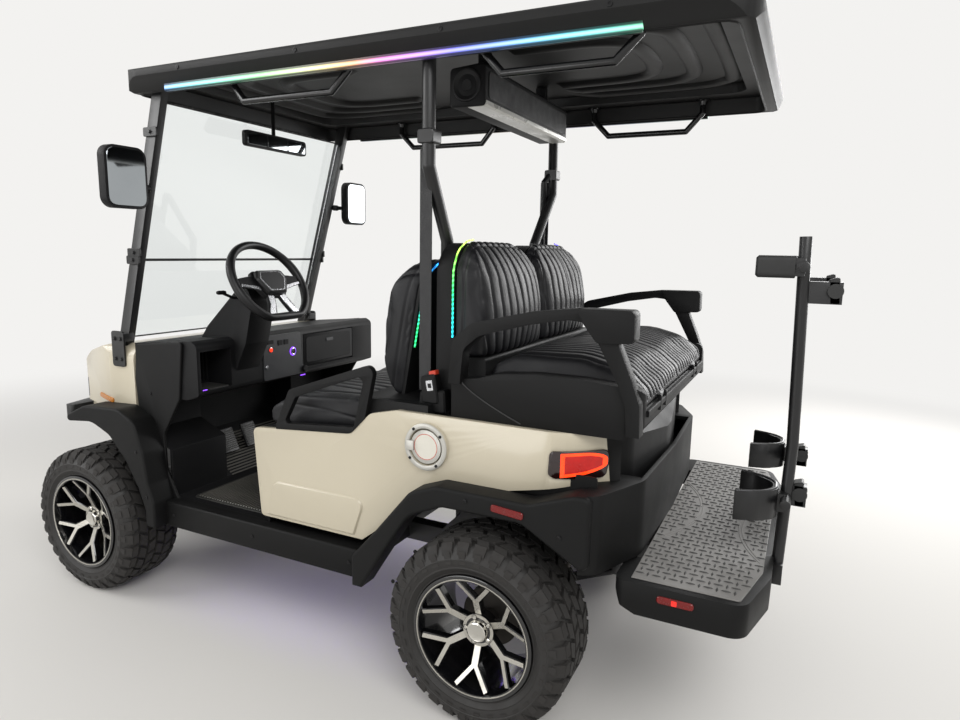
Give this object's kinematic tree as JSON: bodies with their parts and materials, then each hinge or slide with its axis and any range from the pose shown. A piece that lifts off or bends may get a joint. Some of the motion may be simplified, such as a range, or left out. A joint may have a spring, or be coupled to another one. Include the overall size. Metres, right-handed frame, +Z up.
{
  "type": "golf cart",
  "caption": "Electric golf cart with forward front seats, a rear-facing flip-up bench, a footplate, a bag rack, a long roof and steered front wheels",
  "frame": {"origin": "on the ground, under the middle of the cart's length and width", "axes": "+X points forward, +Y to the cart's left, +Z up"},
  "size_m": [3.06, 1.484, 2.0494],
  "materials": {
    "body_cream": "satin",
    "trim_black": "moulded grain",
    "frame_black": "powder coat",
    "steel_grey": "bare",
    "seat_black": "grained vinyl",
    "tyre_black": "matte",
    "rim_alloy": "machined face on gloss black",
    "screen_clear": "clear",
    "mat_rubber": "ribbed",
    "lamp_red": "clear lens",
    "led_light": "diffuser",
    "case_grey": "moulded"
  },
  "bodies": {
    "cart": {"front_suspension": "frame_black", "chassis_frame": "frame_black", "battery_pack": "case_grey", "rear_axle": "steel_grey", "springs": "steel_grey", "floor_pan": "mat_rubber", "pedals": "frame_black", "dashboard": "trim_black", "nose_panel": "body_cream", "front_mask": "trim_black", "front_bumper": "frame_black", "side_trims": "trim_black", "flares": "trim_black", "side_panels": "body_cream", "lamps": "lamp_red", "front_struts": "frame_black", "windshield": "screen_clear", "mirrors": "trim_black", "roof": "trim_black", "led_strips": "led_light", "grab_handles": "frame_black", "sound_bar": "trim_black", "rear_posts": "frame_black", "seat_pedestal": "trim_black", "front_cushion": "seat_black", "front_backs": "seat_black", "seat_shell": "trim_black", "rear_body": "trim_black", "rear_backs": "seat_black", "armrests": "trim_black", "footplate": "mat_rubber", "bag_rack": "frame_black"},
    "knuckle_left": {"knuckle_left": "steel_grey"},
    "knuckle_right": {"knuckle_right": "steel_grey"},
    "tie_rod": {"tie_rod": "steel_grey"},
    "steering_wheel": {"steering_wheel": "trim_black"},
    "glovebox_lid": {"glovebox_lid": "trim_black"},
    "charge_lid": {"charge_lid": "body_cream"},
    "rear_cushion": {"rear_cushion": "seat_black"},
    "wheel_front_left": {"tyre_front_left": "tyre_black", "rim_front_left": "rim_alloy"},
    "wheel_front_right": {"tyre_front_right": "tyre_black", "rim_front_right": "rim_alloy"},
    "wheel_rear_left": {"tyre_rear_left": "tyre_black", "rim_rear_left": "rim_alloy"},
    "wheel_rear_right": {"tyre_rear_right": "tyre_black", "rim_rear_right": "rim_alloy"}
  },
  "joints": [
    {"name": "steer_left", "type": "hinge", "parent": "cart", "child": "knuckle_left", "pos_m": [1.09, 0.51, 0.292], "axis": [0, 0, 1], "range_deg": [-26, 26]},
    {"name": "steer_right", "type": "hinge", "parent": "cart", "child": "knuckle_right", "pos_m": [1.09, -0.51, 0.292], "axis": [0, 0, 1], "range_deg": [-26.5, 26.5]},
    {"name": "steering_wheel_turn", "type": "hinge", "parent": "cart", "child": "steering_wheel", "pos_m": [0.425, 0.3, 1.26], "axis": [-0.8526, 0, 0.5225], "range_deg": [-320, 320]},
    {"name": "tie_rod_slide", "type": "slide", "parent": "cart", "child": "tie_rod", "axis": [0, 1, 0], "range_m": [-0.045, 0.045]},
    {"name": "glovebox_hinge", "type": "hinge", "parent": "cart", "child": "glovebox_lid", "pos_m": [0.561, -0.21, 0.876], "axis": [0, -1, 0], "range_deg": [0, 75]},
    {"name": "charge_lid_hinge", "type": "hinge", "parent": "cart", "child": "charge_lid", "pos_m": [-0.388, 0.5945, 0.808], "axis": [0, 0, -1], "range_deg": [0, 100]},
    {"name": "rear_cushion_flip", "type": "hinge", "parent": "cart", "child": "rear_cushion", "pos_m": [-1.087, 0, 0.99], "axis": [0, -1, 0], "range_deg": [0, 95]},
    {"name": "roll_front_left", "type": "hinge", "parent": "knuckle_left", "child": "wheel_front_left", "pos_m": [1.09, 0.57, 0.292], "axis": [0, 1, 0], "continuous": true},
    {"name": "roll_front_right", "type": "hinge", "parent": "knuckle_right", "child": "wheel_front_right", "pos_m": [1.09, -0.57, 0.292], "axis": [0, 1, 0], "continuous": true},
    {"name": "roll_rear_left", "type": "hinge", "parent": "cart", "child": "wheel_rear_left", "pos_m": [-0.66, 0.57, 0.292], "axis": [0, 1, 0], "continuous": true},
    {"name": "roll_rear_right", "type": "hinge", "parent": "cart", "child": "wheel_rear_right", "pos_m": [-0.66, -0.57, 0.292], "axis": [0, 1, 0], "continuous": true}
  ],
  "couplings": [
    {"joint": "steer_right", "follows": "steer_left", "ratio": 1},
    {"joint": "steering_wheel_turn", "follows": "steer_left", "ratio": 12},
    {"joint": "tie_rod_slide", "follows": "steer_left", "m_per_rad": 0.095}
  ]
}
